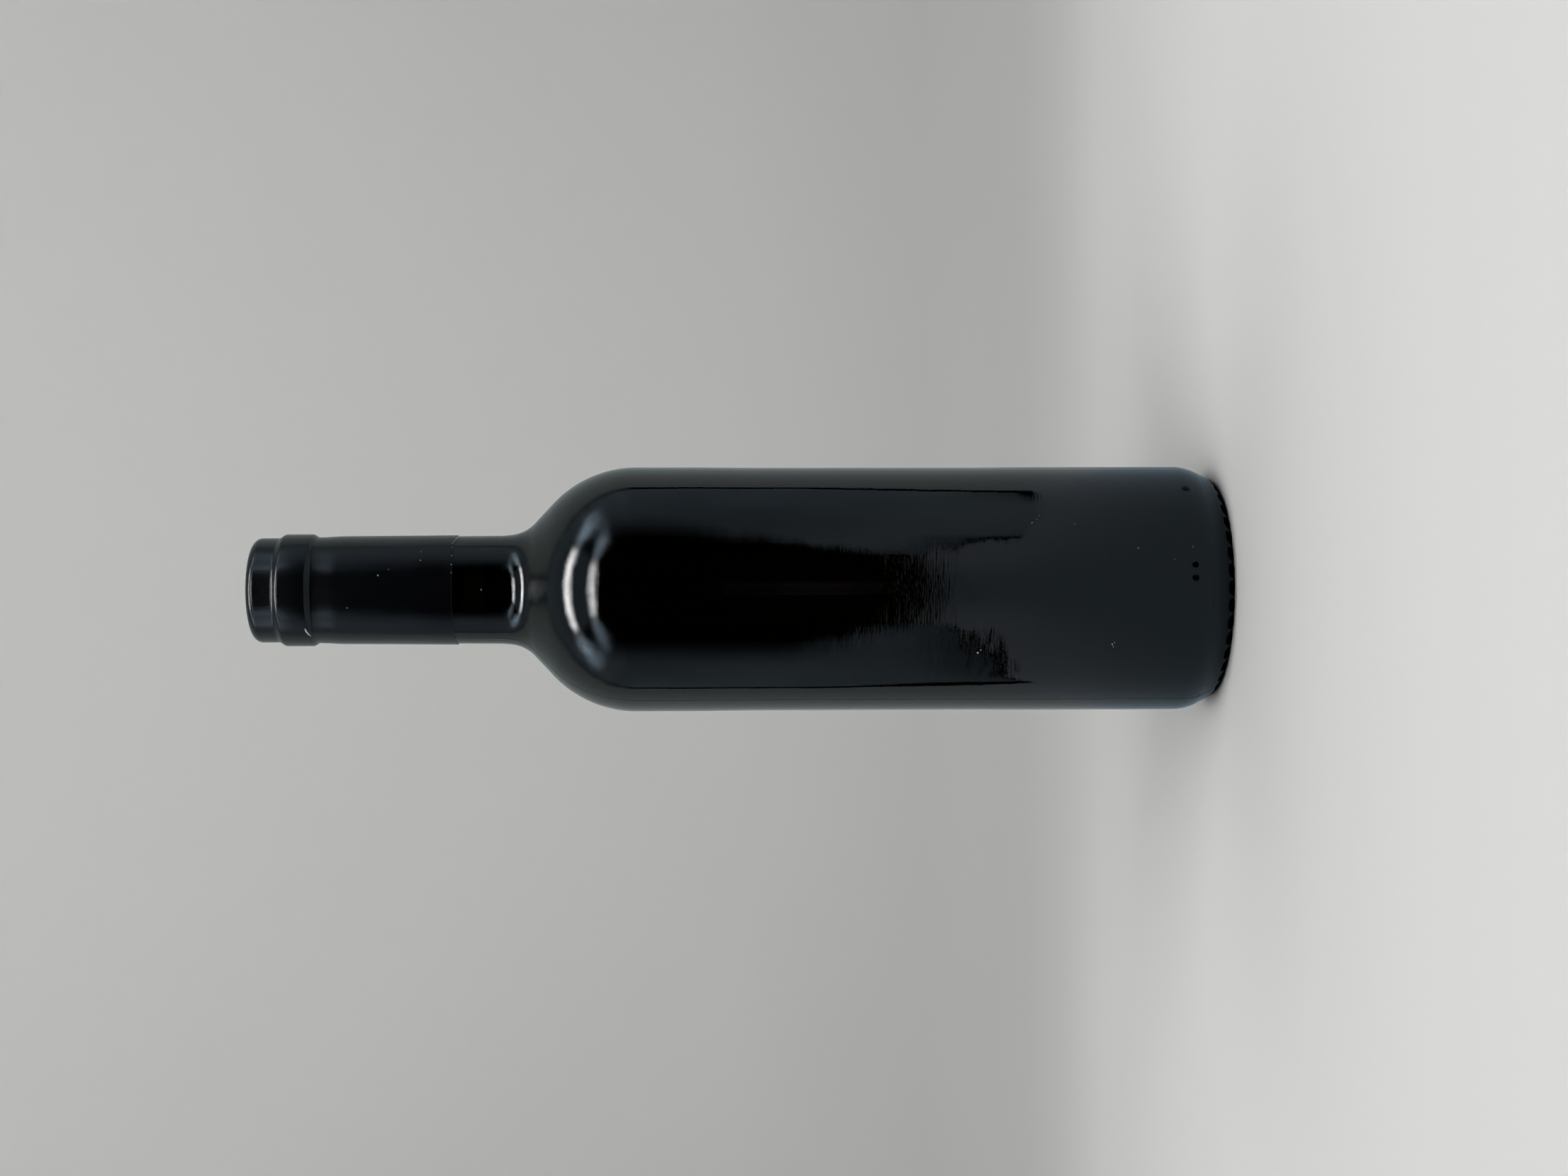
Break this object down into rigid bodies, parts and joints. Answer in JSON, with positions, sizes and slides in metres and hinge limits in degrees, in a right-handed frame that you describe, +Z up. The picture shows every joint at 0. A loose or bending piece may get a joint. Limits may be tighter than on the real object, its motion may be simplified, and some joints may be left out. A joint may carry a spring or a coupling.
{
  "type": "wine bottle",
  "caption": "Small dark green glass wine bottle with straight sides, high round shoulders and a domed base, full and closed with a plain satin black capsule over its mouth.",
  "frame": {"origin": "middle of the ring that the bottle stands on, in the plane of the surface under it", "axes": "+Z up the bottle's axis towards its mouth; -Y is the front, where the pair of mould dots is on the heel; +X is to the right of it"},
  "size_m": [0.061, 0.0612, 0.2393],
  "materials": {
    "glass": "glossy, very dark olive green, with fine ripples from the mould",
    "wine": "clear liquid, dark red",
    "capsule": "satin black film with a fine grain"
  },
  "bodies": {
    "root": {"bottle": "glass", "wine": "wine", "capsule": "capsule"}
  },
  "joints": []
}
